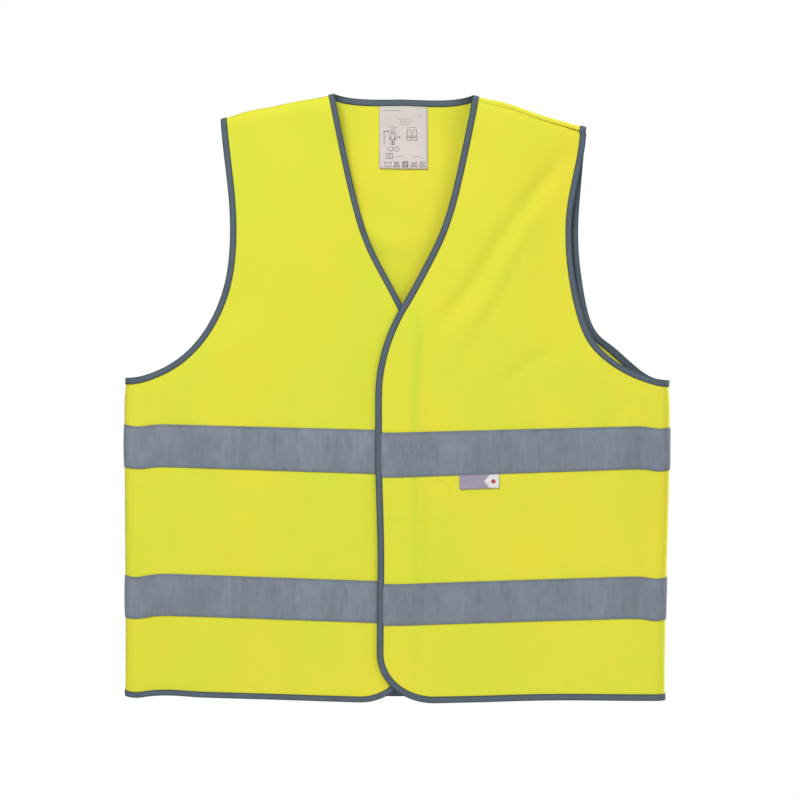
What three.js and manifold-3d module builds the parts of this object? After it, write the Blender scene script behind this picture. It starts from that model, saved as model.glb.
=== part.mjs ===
// A high visibility vest, laid flat as a tube of cloth: one back, two fronts that lap at the centre,
// reflective tapes round the body, bound edges, a hook-and-loop closure, a care label and a tab.
// Millimetres, +Z up. The origin is midway between the two points where the shoulders meet the neck.
// The front faces -Y, and the wearer's left is +X. Outlines are drawn in x and z for the left side,
// and the right side mirrors them.

import * as THREE from 'three';
import { mergeVertices } from 'three/addons/utils/BufferGeometryUtils.js';
import Module from 'manifold-3d';

const wasm = await Module();
wasm.setup();

// Overall sizes
const LENGTH = 694; // neck point to hem
const HALF_WIDTH = 313; // centre to side fold

// Neck and shoulders
const NECK_HALF = 80;
const BACK_NECK_DROP = 4.2;
const NECK_SIDE_DROP = 5.3; // the back's neck dips a little on both sides of its middle
const SHOULDER_HALF = 211;
const SHOULDER_DROP = 35;

// Armholes: the narrowest place of the chest, and the underarm
const CHEST_HALF = 200;
const CHEST_DROP = 158;
const UNDERARM_DROP = 328;

// Fronts
const V_TURN_HALF = 4; // where the V begins to turn towards the centre edge
const V_TURN_DROP = 234;
const V_SLOPE = 0.2; // how fast the V narrows at the neck, then where it begins to turn
const V_TURN_SLOPE = 0.55;
const V_DROP = 345; // where the V runs into the straight centre edge
const LAP = 50; // how far the fronts lap over each other
const HEM_CORNER_WIDTH = 68; // a front's lower corner is a quarter of an ellipse
const HEM_CORNER_HEIGHT = 58;
const FOLD_TOP_HALF = 70; // where the line that a front folds back along leaves the neck edge
const FOLD_TOP_DROP = 80;
const FOLD_HEM_HALF = 205; // where that line meets the hem

// Cloth, binding and tape
const CLOTH = 0.6;
const BINDING_WIDTH = 9;
const TRIM_WALL = 0.5; // thickness of the tape and of each wall of the binding
const TAPE_WIDTH = 50;
const TAPE_SPACE = 121; // between the two tapes
const HEM_TO_TAPE = 89;
const SEAM_WIDTH = 6;
const SEAM_THICK = 1.4;
const SEAM_CORNER = 0.56;
const SEAM_END_SPACE = 1;

// Closure, label and tab
const PAD_THICK = 1.2;
const PAD_HEIGHT = 44;
const HOOK_LENGTH = 76;
const LOOP_LENGTH = 30;
const PAD_CORNER = 2;
const TAPE_TO_PAD = 5.6;
const LABEL_WIDTH = 56;
const LABEL_HEIGHT = 70;
const LABEL_THICK = 0.6;
const LABEL_CORNER = 1;
const TAB_WIDTH = 46;
const TAB_HEIGHT = 16;
const TAB_X = 94;
const TAB_CORNER = 0.8;

// Clearances
const GAP = 0.3; // between two pieces that touch on the real vest
const BODY_SPACE = 18; // between the back and the nearer front
const BACK_Y = 10; // middle of the back's cloth

// Drawing
const PAST = 20; // how far a cutting outline runs past the cloth
const CURVE_STEPS = 14;
const V_NECK_REACH = 150; // heights of the V's curve handles over and under its ends
const V_TURN_REACH = 80;
const V_LEAVING_REACH = 10;
const V_CENTRE_REACH = 65;
const NECK_INNER_REACH = 40; // the back neck's handles, counted from the centre
const NECK_OUTER_REACH = 56;
const ARM_TOP_LEAN = 4; // the armhole's handles: in and down from the shoulder point,
const ARM_TOP_REACH = 55;
const ARM_CHEST_REACH = 44; // over and under the narrowest place,
const ARM_LOWER_REACH = 92;
const ARM_FLARE = 78; // and in and up from the underarm
const ARM_FLARE_RISE = 6;
const CORNER_STEPS = 3;
const WRAP_STEPS = 6;
const WRAP_OVERLAP = 1; // how far a wrap runs into the flat cloth beside it
const BEFORE_NECK = 30; // how far a shoulder wrap starts before the neck point
const FOLD_PAST = 60; // how far the fold line is drawn past the cloth
const SAME_POINT = 1e-5;
const DEEP = 60; // half the reach of a cutting prism through the vest

// Places that follow from the sizes above
const LAP_SPACE = CLOTH + 3 * GAP + 2 * PAD_THICK;
const UNDER_Y = BACK_Y - BODY_SPACE;
const TOP_Y = UNDER_Y - LAP_SPACE;
const TRIM_FROM = CLOTH / 2 + GAP; // from the middle of the cloth to the near face of its trim
const TRIM_TO = TRIM_FROM + TRIM_WALL;
const CLOTH_INSET = TRIM_WALL + GAP;
const INSIDE_BINDING = BINDING_WIDTH + GAP;
const LOWER_TAPE_Z = -LENGTH + HEM_TO_TAPE;
const UPPER_TAPE_Z = LOWER_TAPE_Z + TAPE_WIDTH + TAPE_SPACE;
const SLOPE = Math.atan2(SHOULDER_DROP, SHOULDER_HALF - NECK_HALF);
const SHOULDER_RUN = Math.hypot(SHOULDER_DROP, SHOULDER_HALF - NECK_HALF);

const LEFT = 1;
const RIGHT = -1;

const FINISHES = {
  yellow: { color: 0xe0dc3e, roughness: 0.85, metalness: 0 },
  reflective: { color: 0x868d96, roughness: 0.45, metalness: 0.15 },
  binding: { color: 0x64727c, roughness: 0.8, metalness: 0 },
  white: { color: 0xd2c9c5, roughness: 0.7, metalness: 0 },
  lilac: { color: 0xa79fb0, roughness: 0.7, metalness: 0 },
};

// Lines in x and z

function bowed(path, handles, end) {
  path.bezierCurveTo(...handles[0], ...handles[1], ...end);
}

// Down the V and the centre edge, round the corner and along the hem, with the cloth on its left.
function frontEdge() {
  const edge = new THREE.Path();
  const centre = -LAP / 2;
  edge.moveTo(NECK_HALF, PAST);
  edge.lineTo(NECK_HALF, 0);
  const onSlope = (x, z, slope, rise) => [x + slope * rise, z + rise];
  const turn = [V_TURN_HALF, -V_TURN_DROP];
  const neckHandle = onSlope(NECK_HALF, 0, V_SLOPE, -V_NECK_REACH);
  bowed(edge, [neckHandle, onSlope(...turn, V_TURN_SLOPE, V_TURN_REACH)], turn);
  const leaving = onSlope(...turn, V_TURN_SLOPE, -V_LEAVING_REACH);
  bowed(edge, [leaving, [centre, V_CENTRE_REACH - V_DROP]], [centre, -V_DROP]);
  edge.lineTo(centre, -LENGTH + HEM_CORNER_HEIGHT);
  edge.absellipse(
    centre + HEM_CORNER_WIDTH,
    -LENGTH + HEM_CORNER_HEIGHT,
    HEM_CORNER_WIDTH,
    HEM_CORNER_HEIGHT,
    Math.PI,
    1.5 * Math.PI,
    false,
  );
  edge.lineTo(HALF_WIDTH + PAST, -LENGTH);
  return edge.getPoints(CURVE_STEPS);
}

// From over the shoulder down the armhole to past the side, with the cloth on its right.
function armhole() {
  const edge = new THREE.Path();
  edge.moveTo(SHOULDER_HALF, PAST);
  edge.lineTo(SHOULDER_HALF, -SHOULDER_DROP);
  const top = [SHOULDER_HALF - ARM_TOP_LEAN, -SHOULDER_DROP - ARM_TOP_REACH];
  const [over, under] = [ARM_CHEST_REACH, -ARM_LOWER_REACH].map((z) => [CHEST_HALF, z - CHEST_DROP]);
  bowed(edge, [top, over], [CHEST_HALF, -CHEST_DROP]);
  const flare = [HALF_WIDTH - ARM_FLARE, ARM_FLARE_RISE - UNDERARM_DROP];
  bowed(edge, [under, flare], [HALF_WIDTH, -UNDERARM_DROP]);
  edge.lineTo(HALF_WIDTH + PAST, -UNDERARM_DROP);
  return edge.getPoints(CURVE_STEPS);
}

// Along the back's neck from the right shoulder to the left one, with the cloth on its right.
function backNeck() {
  const edge = new THREE.Path();
  const low = -BACK_NECK_DROP;
  const near = [NECK_OUTER_REACH, -NECK_SIDE_DROP];
  const far = [NECK_INNER_REACH, -NECK_SIDE_DROP];
  edge.moveTo(-NECK_HALF, PAST);
  edge.lineTo(-NECK_HALF, 0);
  bowed(edge, [near, far].map(([x, z]) => [-x, z]), [0, low]);
  bowed(edge, [far, near], [NECK_HALF, 0]);
  edge.lineTo(NECK_HALF, PAST);
  return edge.getPoints(CURVE_STEPS);
}

function hemLine() {
  const reach = HALF_WIDTH + PAST;
  return [new THREE.Vector2(-reach, -LENGTH), new THREE.Vector2(reach, -LENGTH)];
}

// The line moved to its left by a distance, with mitred corners.
function shifted(line, distance) {
  const direction = (i) => line[i + 1].clone().sub(line[i]).normalize();
  return line.map((point, i) => {
    const ahead = direction(Math.min(i, line.length - 2));
    const behind = direction(Math.max(i - 1, 0));
    const both = ahead.clone().add(behind).normalize();
    const across = new THREE.Vector2(-both.y, both.x);
    const stretch = distance / (across.x * -ahead.y + across.y * ahead.x);
    return point.clone().addScaledVector(across, stretch);
  });
}

function sided(line, side) {
  return line.map((point) => new THREE.Vector2(side * point.x, point.y));
}

function frontOutline(inset) {
  return [...shifted(frontEdge(), inset), ...shifted(armhole(), -inset).reverse()];
}

function backOutline(inset) {
  const side = shifted(armhole(), -inset);
  const hem = shifted(hemLine(), inset).reverse();
  return [...shifted(backNeck(), -inset), ...side, ...hem, ...sided(side, RIGHT).reverse()];
}

// Solids

function solid(geometry) {
  geometry.deleteAttribute('normal');
  geometry.deleteAttribute('uv');
  const merged = mergeVertices(geometry, SAME_POINT);
  return new wasm.Manifold(new wasm.Mesh({
    numProp: 3,
    vertProperties: Float32Array.from(merged.attributes.position.array),
    triVerts: Uint32Array.from(merged.index.array),
  }));
}

function joined(solids) {
  return solids.reduce((whole, next) => whole.add(next));
}

// An outline in x and z as a solid from one y to another.
function prism(points, from = -DEEP, to = DEEP) {
  const geometry = new THREE.ExtrudeGeometry(new THREE.Shape(points), {
    depth: to - from,
    bevelEnabled: false,
  });
  geometry.rotateX(Math.PI / 2);
  geometry.translate(0, to, 0);
  return solid(geometry);
}

function band(line, from, to) {
  return prism([...shifted(line, from), ...shifted(line, to).reverse()]);
}

function rectangle(low, high) {
  const shape = new THREE.Shape();
  shape.moveTo(low[0], low[1]);
  shape.lineTo(high[0], low[1]);
  shape.lineTo(high[0], high[1]);
  shape.lineTo(low[0], high[1]);
  return shape.getPoints();
}

function roundedRectangle(low, high, radius) {
  const shape = new THREE.Shape();
  shape.absarc(high[0] - radius, high[1] - radius, radius, 0, 0.5 * Math.PI, false);
  shape.absarc(low[0] + radius, high[1] - radius, radius, 0.5 * Math.PI, Math.PI, false);
  shape.absarc(low[0] + radius, low[1] + radius, radius, Math.PI, 1.5 * Math.PI, false);
  shape.absarc(high[0] - radius, low[1] + radius, radius, 1.5 * Math.PI, 2 * Math.PI, false);
  return shape.getPoints(CORNER_STEPS);
}

// The vest's surface: flat fronts and a flat back, joined by round wraps at the sides and shoulders.
// A layer is the space between two heights over the middle of the cloth, the outer face being up.

const frontY = (side) => (side === LEFT ? TOP_Y : UNDER_Y);
const wrapRadius = (side) => (BACK_Y - frontY(side)) / 2;
const wrapY = (side) => (BACK_Y + frontY(side)) / 2;
const wrapX = (side) => HALF_WIDTH - CLOTH / 2 - wrapRadius(side);

// The height at which the flat cloth under a shoulder turns into the wrap.
function wrapStart(side, x) {
  const shoulder = (NECK_HALF - x) * Math.tan(SLOPE);
  return shoulder - (wrapRadius(side) + CLOTH / 2) / Math.cos(SLOPE);
}

// Half of a wrap's section: its first axis points out of the fold, and its second is y.
function wrapSection(side, face, layer, middle, seam) {
  const centre = middle - wrapRadius(side);
  const start = 0.5 * Math.PI;
  const arc = (height) => {
    const radius = wrapRadius(side) + height;
    const end = seam / 2 / radius;
    const points = [new THREE.Vector2(centre - WRAP_OVERLAP, wrapY(side) + face * radius)];
    for (let i = 0; i <= WRAP_STEPS; i += 1) {
      const angle = start + ((end - start) * i) / WRAP_STEPS;
      const y = wrapY(side) + face * radius * Math.sin(angle);
      points.push(new THREE.Vector2(centre + radius * Math.cos(angle), y));
    }
    return points;
  };
  return [...arc(layer[1]), ...arc(layer[0]).reverse()];
}

function extruded(points, depth) {
  return new THREE.ExtrudeGeometry(new THREE.Shape(points), { depth, bevelEnabled: false });
}

function sideWrap(side, face, layer, seam) {
  const section = wrapSection(side, face, layer, HALF_WIDTH - CLOTH / 2, seam);
  const geometry = extruded(sided(section, side), LENGTH - UNDERARM_DROP + 2 * PAST);
  geometry.translate(0, 0, -LENGTH - PAST);
  return solid(geometry);
}

// Puts an extruded section on a shoulder: its first axis points out of the shoulder, its second is
// y, and it runs along the shoulder from one distance to another, counted from the neck point.
function alongShoulder(points, side, from, to) {
  const geometry = extruded(points, to - from);
  geometry.translate(0, 0, side === LEFT ? -to : from);
  const out = new THREE.Vector3(side * Math.sin(SLOPE), 0, Math.cos(SLOPE));
  const up = new THREE.Vector3(0, 1, 0);
  const basis = new THREE.Matrix4().makeBasis(out, up, out.clone().cross(up));
  basis.setPosition(side * NECK_HALF, 0, 0);
  geometry.applyMatrix4(basis);
  return solid(geometry);
}

function shoulderWrap(side, face, layer, seam) {
  const section = wrapSection(side, face, layer, -CLOTH / 2, seam);
  return alongShoulder(section, side, -BEFORE_NECK, SHOULDER_RUN + PAST);
}

const FRONT = -1;
const BACK = 1;

// How far a layer stops short of the side seam and of the shoulder seam, counted over both halves.
const APART = { side: GAP, shoulder: GAP };
const OVER_SHOULDER = { side: GAP, shoulder: 0 };
const PAST_SEAMS = { side: -GAP, shoulder: -GAP };

function frontLayer(side, layer, seams = APART) {
  const low = -LENGTH - PAST;
  const [inner, outer] = [-LAP, wrapX(side)];
  const region = [[inner, low], [outer, low], [outer, wrapStart(side, outer)],
    [inner, wrapStart(side, inner)]].map(([x, z]) => new THREE.Vector2(side * x, z));
  const flat = prism(region, frontY(side) - layer[1], frontY(side) - layer[0]);
  return joined([
    flat,
    sideWrap(side, FRONT, layer, seams.side),
    shoulderWrap(side, FRONT, layer, seams.shoulder),
  ]);
}

function backLayer(layer, seams = APART) {
  const low = -LENGTH - PAST;
  const region = [LEFT, RIGHT].flatMap((side) => {
    const outer = wrapX(side);
    const half = [[0, wrapStart(side, 0)], [outer, wrapStart(side, outer)], [outer, low]];
    const points = half.map(([x, z]) => new THREE.Vector2(side * x, z));
    return side === LEFT ? points : points.reverse();
  });
  const flat = prism(region, BACK_Y + layer[0], BACK_Y + layer[1]);
  return joined([
    flat,
    ...[LEFT, RIGHT].map((side) => sideWrap(side, BACK, layer, seams.side)),
    ...[LEFT, RIGHT].map((side) => shoulderWrap(side, BACK, layer, seams.shoulder)),
  ]);
}

const clothLayer = [-CLOTH / 2, CLOTH / 2];
const slotLayer = [-TRIM_FROM, TRIM_FROM];
const bindingLayer = [-TRIM_TO, TRIM_TO];
const tapeLayer = [TRIM_FROM, TRIM_TO];

// A folded strip over the edge that the line follows, with the cloth's edge in its slot.
function bindingOver(line, inward, layerOf, seams = APART) {
  const strip = band(line, 0, inward * BINDING_WIDTH).intersect(layerOf(bindingLayer, seams));
  const slot = band(line, inward * TRIM_WALL, inward * (BINDING_WIDTH + PAST));
  return strip.subtract(slot.intersect(layerOf(slotLayer, PAST_SEAMS)));
}

// The fold line of a front, and the cloth on either side of it

const foldTop = new THREE.Vector2(FOLD_TOP_HALF, -FOLD_TOP_DROP);
const foldHem = new THREE.Vector2(FOLD_HEM_HALF, -LENGTH);

function foldHalf(side, toCentre) {
  const down = foldHem.clone().sub(foldTop).normalize();
  const line = [
    foldTop.clone().addScaledVector(down, -FOLD_TOP_DROP - FOLD_PAST),
    foldHem.clone().addScaledVector(down, FOLD_PAST),
  ];
  const inward = toCentre ? -1 : 1;
  return prism([
    ...sided(shifted(line, inward * GAP), side),
    ...sided(shifted(line, inward * 2 * HALF_WIDTH), side).reverse(),
  ]);
}

// The vest

const vest = new THREE.Group();

function add(name, shape, finish, parent = vest) {
  const { vertProperties, triVerts } = shape.getMesh();
  const geometry = new THREE.BufferGeometry();
  geometry.setAttribute('position', new THREE.BufferAttribute(vertProperties, 3));
  geometry.setIndex(new THREE.BufferAttribute(triVerts, 1));
  geometry.computeVertexNormals();
  const material = new THREE.MeshStandardMaterial({ ...FINISHES[finish], flatShading: true });
  const mesh = new THREE.Mesh(geometry, material);
  mesh.name = name;
  parent.add(mesh);
}

function tapeRegion(outline, bottom, side = LEFT) {
  const reach = HALF_WIDTH + PAST;
  const stripe = prism(rectangle([-reach, bottom], [reach, bottom + TAPE_WIDTH]));
  return stripe.intersect(prism(sided(outline, side)));
}

const TAPES = { lower: LOWER_TAPE_Z, upper: UPPER_TAPE_Z };

function addBack() {
  const panel = backLayer(clothLayer).intersect(prism(backOutline(CLOTH_INSET)));
  add('back_panel', panel, 'yellow');
  const layer = backLayer(tapeLayer);
  for (const [place, bottom] of Object.entries(TAPES)) {
    const tape = layer.intersect(tapeRegion(backOutline(INSIDE_BINDING), bottom));
    add(`back_${place}_tape`, tape, 'reflective');
  }
  add('back_neck_binding', bindingOver(backNeck(), -1, backLayer), 'binding');
  add('back_hem_binding', bindingOver(hemLine(), 1, backLayer), 'binding');
}

function addArmhole(name, side) {
  const line = side === LEFT ? armhole() : sided(armhole(), side).reverse();
  const ofFront = (layer, seams) => frontLayer(side, layer, seams);
  const front = bindingOver(line, -1, ofFront, OVER_SHOULDER);
  const back = bindingOver(line, -1, backLayer, OVER_SHOULDER);
  const half = prism(rectangle([(side * SHOULDER_HALF) / 2, -LENGTH], [side * 2 * HALF_WIDTH, PAST]));
  add(`${name}_armhole_binding`, front.add(back.intersect(half)), 'binding');
}

// Each front is made whole, then parted along its fold line into a side, which stays with the
// back, and a flap, which opens.
function addFront(name, side) {
  const whole = {
    front: frontLayer(side, clothLayer).intersect(prism(sided(frontOutline(CLOTH_INSET), side))),
  };
  const tapes = frontLayer(side, tapeLayer);
  for (const [place, bottom] of Object.entries(TAPES)) {
    const region = tapeRegion(frontOutline(INSIDE_BINDING), bottom, side);
    whole[`${place}_tape`] = tapes.intersect(region);
  }
  const line = side === LEFT ? frontEdge() : sided(frontEdge(), side).reverse();
  const edge = bindingOver(line, 1, (layer, seams) => frontLayer(side, layer, seams));

  const [fixed, opening] = [foldHalf(side, false), foldHalf(side, true)];
  const finishes = { front: 'yellow', lower_tape: 'reflective', upper_tape: 'reflective' };
  for (const [piece, shape] of Object.entries(whole)) {
    add(`${name}_side_${piece}`, shape.intersect(fixed), finishes[piece]);
    add(`${name}_flap_${piece}`, shape.intersect(opening), finishes[piece]);
  }
  const top = prism(rectangle([-2 * HALF_WIDTH, -LENGTH / 2], [2 * HALF_WIDTH, 2 * PAST]));
  const fixedEdge = edge.intersect(fixed);
  add(`${name}_flap_edge_binding`, edge.intersect(opening), 'binding');
  add(`${name}_neck_binding`, fixedEdge.intersect(top), 'binding');
  add(`${name}_side_hem_binding`, fixedEdge.subtract(top), 'binding');
}

// The overlocked edges of two panels, turned in along a side or a shoulder.
function addSeams(name, side) {
  const outer = -CLOTH - GAP;
  const half = SEAM_THICK / 2;
  const section = roundedRectangle(
    [outer - SEAM_WIDTH, wrapY(side) - half],
    [outer, wrapY(side) + half],
    SEAM_CORNER,
  );
  const atSide = section.map((point) => new THREE.Vector2(side * (HALF_WIDTH + point.x), point.y));
  const bottom = -LENGTH + INSIDE_BINDING;
  const geometry = extruded(atSide, -UNDERARM_DROP - INSIDE_BINDING - bottom);
  geometry.translate(0, 0, bottom);
  add(`${name}_side_seam`, solid(geometry), 'yellow');
  const end = INSIDE_BINDING + SEAM_WIDTH * Math.sin(SLOPE) + SEAM_END_SPACE;
  add(`${name}_shoulder_seam`, alongShoulder(section, side, end, SHOULDER_RUN - end), 'yellow');
}

// A flat pad beside the centre edge of a front, under the upper tape.
function addPad(name, side, length, from, to) {
  const near = -LAP / 2 + INSIDE_BINDING;
  const top = UPPER_TAPE_Z - TAPE_TO_PAD;
  const points = roundedRectangle([near, top - PAD_HEIGHT], [near + length, top], PAD_CORNER);
  add(name, prism(sided(points, side), from, to), 'yellow');
}

function addClosure() {
  const inside = TOP_Y + CLOTH / 2 + GAP;
  const outside = UNDER_Y - CLOTH / 2 - GAP;
  addPad('hook_strip', LEFT, HOOK_LENGTH, inside, inside + PAD_THICK);
  addPad('loop_pad', RIGHT, LOOP_LENGTH, outside - PAD_THICK, outside);
}

function addLabel() {
  const top = -NECK_SIDE_DROP - INSIDE_BINDING;
  const face = BACK_Y - CLOTH / 2 - GAP;
  const low = [-LABEL_WIDTH / 2, top - LABEL_HEIGHT];
  const points = roundedRectangle(low, [LABEL_WIDTH / 2, top], LABEL_CORNER);
  add('care_label', prism(points, face - LABEL_THICK, face), 'white');
}

function addTab() {
  const top = UPPER_TAPE_Z - GAP;
  const face = TOP_Y - CLOTH / 2 - GAP;
  const low = [TAB_X - TAB_WIDTH / 2, top - TAB_HEIGHT];
  const points = roundedRectangle(low, [TAB_X + TAB_WIDTH / 2, top], TAB_CORNER);
  add('tape_tab', prism(points, face - LABEL_THICK, face), 'lilac');
}

addBack();
for (const [name, side] of [['left', LEFT], ['right', RIGHT]]) {
  addFront(name, side);
  addArmhole(name, side);
  addSeams(name, side);
}
addClosure();
addLabel();
addTab();

export default vest;
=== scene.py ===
import math

import bmesh
import bpy
import numpy as np
from mathutils.geometry import delaunay_2d_cdt
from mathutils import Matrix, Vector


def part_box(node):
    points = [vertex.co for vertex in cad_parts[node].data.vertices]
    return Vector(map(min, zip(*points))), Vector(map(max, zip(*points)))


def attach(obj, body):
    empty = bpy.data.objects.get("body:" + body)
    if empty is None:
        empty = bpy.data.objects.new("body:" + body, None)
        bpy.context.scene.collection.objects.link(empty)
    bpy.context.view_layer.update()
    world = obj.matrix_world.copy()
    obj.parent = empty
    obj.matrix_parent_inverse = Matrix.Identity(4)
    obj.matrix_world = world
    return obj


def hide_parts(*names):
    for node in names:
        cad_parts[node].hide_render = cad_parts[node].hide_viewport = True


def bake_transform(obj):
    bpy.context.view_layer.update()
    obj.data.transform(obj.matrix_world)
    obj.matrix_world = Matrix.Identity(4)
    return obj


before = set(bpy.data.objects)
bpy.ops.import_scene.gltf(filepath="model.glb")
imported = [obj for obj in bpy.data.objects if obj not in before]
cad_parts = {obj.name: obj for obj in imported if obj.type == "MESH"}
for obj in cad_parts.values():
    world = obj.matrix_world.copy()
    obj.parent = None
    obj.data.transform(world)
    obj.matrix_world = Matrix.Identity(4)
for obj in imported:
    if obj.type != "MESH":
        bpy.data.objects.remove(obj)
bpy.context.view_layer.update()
bpy.ops.object.select_all(action="DESELECT")

# Sizes in millimetres. Cloth coordinates are x and z of the vest laid out: x runs to the wearer's
# left, z up, and both run on past the side folds and over the shoulders. Height is counted from
# the middle of a panel's cloth outwards.
MM = 0.001
LEFT, RIGHT = 1, -1
FRONT, BACK = -1, 1


def node_box(name):
    return [[value / MM for value in corner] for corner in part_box(name)]


def front_box(name):
    """The lowest and the highest x and z of a node."""
    return [(corner[0], corner[2]) for corner in node_box(name)]


HALF_WIDTH = 313
LENGTH = 694
NECK_HALF = 80
NECK_LOW, NECK_SIDE = -4.2, -5.3
SHOULDER_HALF, SHOULDER_Z = 211, -35
CHEST_HALF, CHEST_Z = 200, -158
UNDERARM_Z = -328
V_TURN = (4, -234)
V_Z = -345
CENTRE = -25
CORNER = {LEFT: (68, 58), RIGHT: (62, 58)}
FOLD_TOP = (70, -80)
FOLD_HEM = (205, -694)

CLOTH = 0.6
BINDING = 8.2
EDGE_WIDTH = {LEFT: 7.6, RIGHT: 6.8}
ARM_WIDTH = 7.4
BACK_Y = 10.0
FRONT_Y = {LEFT: -11.9, RIGHT: -8.0}
TRIM = 0.95
TAPE_WIDTH = 50
TAPE_ROW = 2.2  # from the tape's edge to its stitches
INNER_SIDE = 20.0  # where a binding's cloth coordinates start on its inner side
BETWEEN = -200  # under this height the folds are at the sides, and over it at the shoulders
SEAM_GAP = 0.15
ROLL = 12  # how far the wearer's left shoulder seam has rolled to the front

SLOPE = math.atan2(-SHOULDER_Z, SHOULDER_HALF - NECK_HALF)
OVER = np.array([math.sin(SLOPE), math.cos(SLOPE)])
RADIUS = {side: (BACK_Y - FRONT_Y[side]) / 2 for side in (LEFT, RIGHT)}
MIDDLE = {side: (BACK_Y + FRONT_Y[side]) / 2 for side in (LEFT, RIGHT)}
FOLD_X = {side: HALF_WIDTH - CLOTH / 2 - RADIUS[side] for side in (LEFT, RIGHT)}
SEAM_ARC = {side: RADIUS[side] * math.pi / 2 for side in (LEFT, RIGHT)}
PANELS = {"back": (BACK, None), "left": (FRONT, LEFT), "right": (FRONT, RIGHT)}
SIDES = {"left": LEFT, "right": RIGHT}


# ---- How the cloth lies -------------------------------------------------------------------------

def smooth(value, low, high):
    t = np.clip((value - low) / (high - low), 0, 1)
    return t * t * (3 - 2 * t)


def bump(value, middle, width):
    return np.exp(-((value - middle) / width) ** 2)


def crease(x, z, points, width):
    """1 along a line of points, fading sideways over a width and out towards both ends."""
    points = np.array(points, float)
    spans = np.diff(points, axis=0)
    lengths = np.hypot(*spans.T)
    run = np.concatenate([[0], np.cumsum(lengths)])
    near = np.full(x.shape, 1e9)
    along = np.zeros(x.shape)
    for start, span, length, done in zip(points, spans, lengths, run):
        t = np.clip(((x - start[0]) * span[0] + (z - start[1]) * span[1]) / length ** 2, 0, 1)
        gap = np.hypot(x - start[0] - t * span[0], z - start[1] - t * span[1])
        closer = gap < near
        near = np.where(closer, gap, near)
        along = np.where(closer, (done + t * length) / run[-1], along)
    ends = smooth(along, -0.02, 0.3) * smooth(1.02 - along, 0, 0.3)
    return np.exp(-(near / width) ** 2) * ends


def sag(x, z, panel):
    """How far the cloth has slipped up or down: the vest hangs a little askew."""
    levels = [(0, 4.0, 0, 0, -4.5), (-335, 2, -1, -1, -0.5), (-409, 6.4, -3.8, -7, 3.9),
              (-580, 5.9, -4.9, -7.5, 2.2), (-694, 1.6, -7.2, -7.4, -4)]
    rows = []
    for _, left_end, left_mid, right_mid, right_end in levels:
        if panel == "back":
            left_mid = right_mid = (left_mid + right_mid) / 2
        elif panel == "left":
            left_end = left_mid = right_mid
        else:
            right_end = right_mid = left_mid
        low = left_mid + (left_end - left_mid) * np.clip(-x, 0, 310) / 310
        high = right_mid + (right_end - right_mid) * np.clip(x, 0, 310) / 310
        rows.append(np.where(x < 0, low, high))
    drop = rows[0]
    for (above, *_), (below, *_), row in zip(levels, levels[1:], rows[1:]):
        drop = drop + (row - drop) * smooth(above - z, 0, above - below)
    upper, lower, hem = bump(z, -409, 70), bump(z, -580, 70), bump(z, -694, 40)
    dips = (upper * (3.8 * bump(x, -298, 17) + 4 * bump(x, 302, 15))
            + lower * (5.6 * bump(x, -302, 20) + 4 * bump(x, 302, 15))
            + hem * (2 * bump(x, -300, 13) - 1.6 * bump(x, -260, 26) - 1.5 * bump(x, 185, 80)))
    squeezed = -1.9 * (z + 580) / 25 * bump(z, -580, 35)
    bowed_shoulder = smooth(z, -170, -45) * (
        3.4 * smooth(-x, 82, 140) + 2.4 * bump(x, -180, 22) + 2.8 * bump(x, 120, 26))
    return drop + bowed_shoulder + squeezed - dips


# Creases of each panel: how far they stand out, their width, and their line down the cloth.
CREASES = {
    "back": [
        (-4.0, 14, [(-160, -50), (-95, -120), (-30, -165), (30, -180)]),
        (-2.4, 16, [(190, -60), (150, -150), (110, -230)]),
        (1.2, 16, [(40, -260), (20, -330), (34, -430)]),
        (3.2, 16, [(-205, -260), (-130, -310), (-80, -430)]),
        (-3.0, 16, [(215, -300), (150, -360), (120, -470)]),
        (2.6, 18, [(230, -340), (190, -500), (205, -640)]),
        (-2.6, 15, [(-240, -460), (-190, -560), (-200, -660)]),
    ],
    "left": [
        (-5.2, 11, [(198, -50), (160, -105), (116, -165), (84, -215), (48, -262), (24, -300)]),
        (2.6, 15, [(175, -100), (130, -165), (96, -235), (60, -290)]),
        (-1.5, 10, [(158, -140), (110, -240), (62, -340)]),
        (-1.9, 8, [(196, -288), (150, -312), (112, -340)]),
        (-1.0, 9, [(116, -212), (140, -222), (160, -219)]),
        (-0.9, 6, [(36, -196), (60, -210), (74, -222)]),
        (-1.5, 8, [(244, -300), (262, -340), (270, -372)]),
        (2.4, 6.5, [(25, -270), (27, -400), (21, -560), (16, -650), (4, -672)]),
        (-2.4, 8, [(148, -370), (160, -400), (176, -450)]),
        (1.8, 7, [(114, -360), (112, -410), (108, -460)]),
        (-1.8, 7, [(236, -365), (243, -410), (241, -455)]),
        (1.5, 8, [(262, -360), (268, -410), (264, -455)]),
        (-1.8, 8, [(196, -540), (205, -580), (196, -625)]),
        (1.6, 8, [(118, -540), (114, -580), (122, -625)]),
        (-1.4, 7, [(250, -540), (252, -580), (258, -620)]),
    ],
    "right": [
        (-0.9, 16, [(-180, -70), (-150, -150), (-165, -240)]),
        (-0.9, 16, [(-260, -360), (-230, -470), (-250, -640)]),
        (1.1, 6, [(-42, -378), (-36, -410), (-40, -440)]),
        (-1.8, 9, [(-245, -370), (-252, -410), (-246, -450)]),
        (1.6, 8, [(-212, -370), (-207, -410), (-210, -450)]),
        (-1.4, 8, [(-160, -370), (-166, -410), (-158, -450)]),
        (1.6, 8, [(-110, -372), (-98, -410), (-102, -450)]),
        (-1.6, 9, [(-218, -540), (-214, -580), (-222, -625)]),
        (1.4, 9, [(-130, -540), (-136, -580), (-128, -625)]),
        (-1.2, 8, [(-40, -545), (-52, -580), (-48, -620)]),
    ],
}


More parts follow.
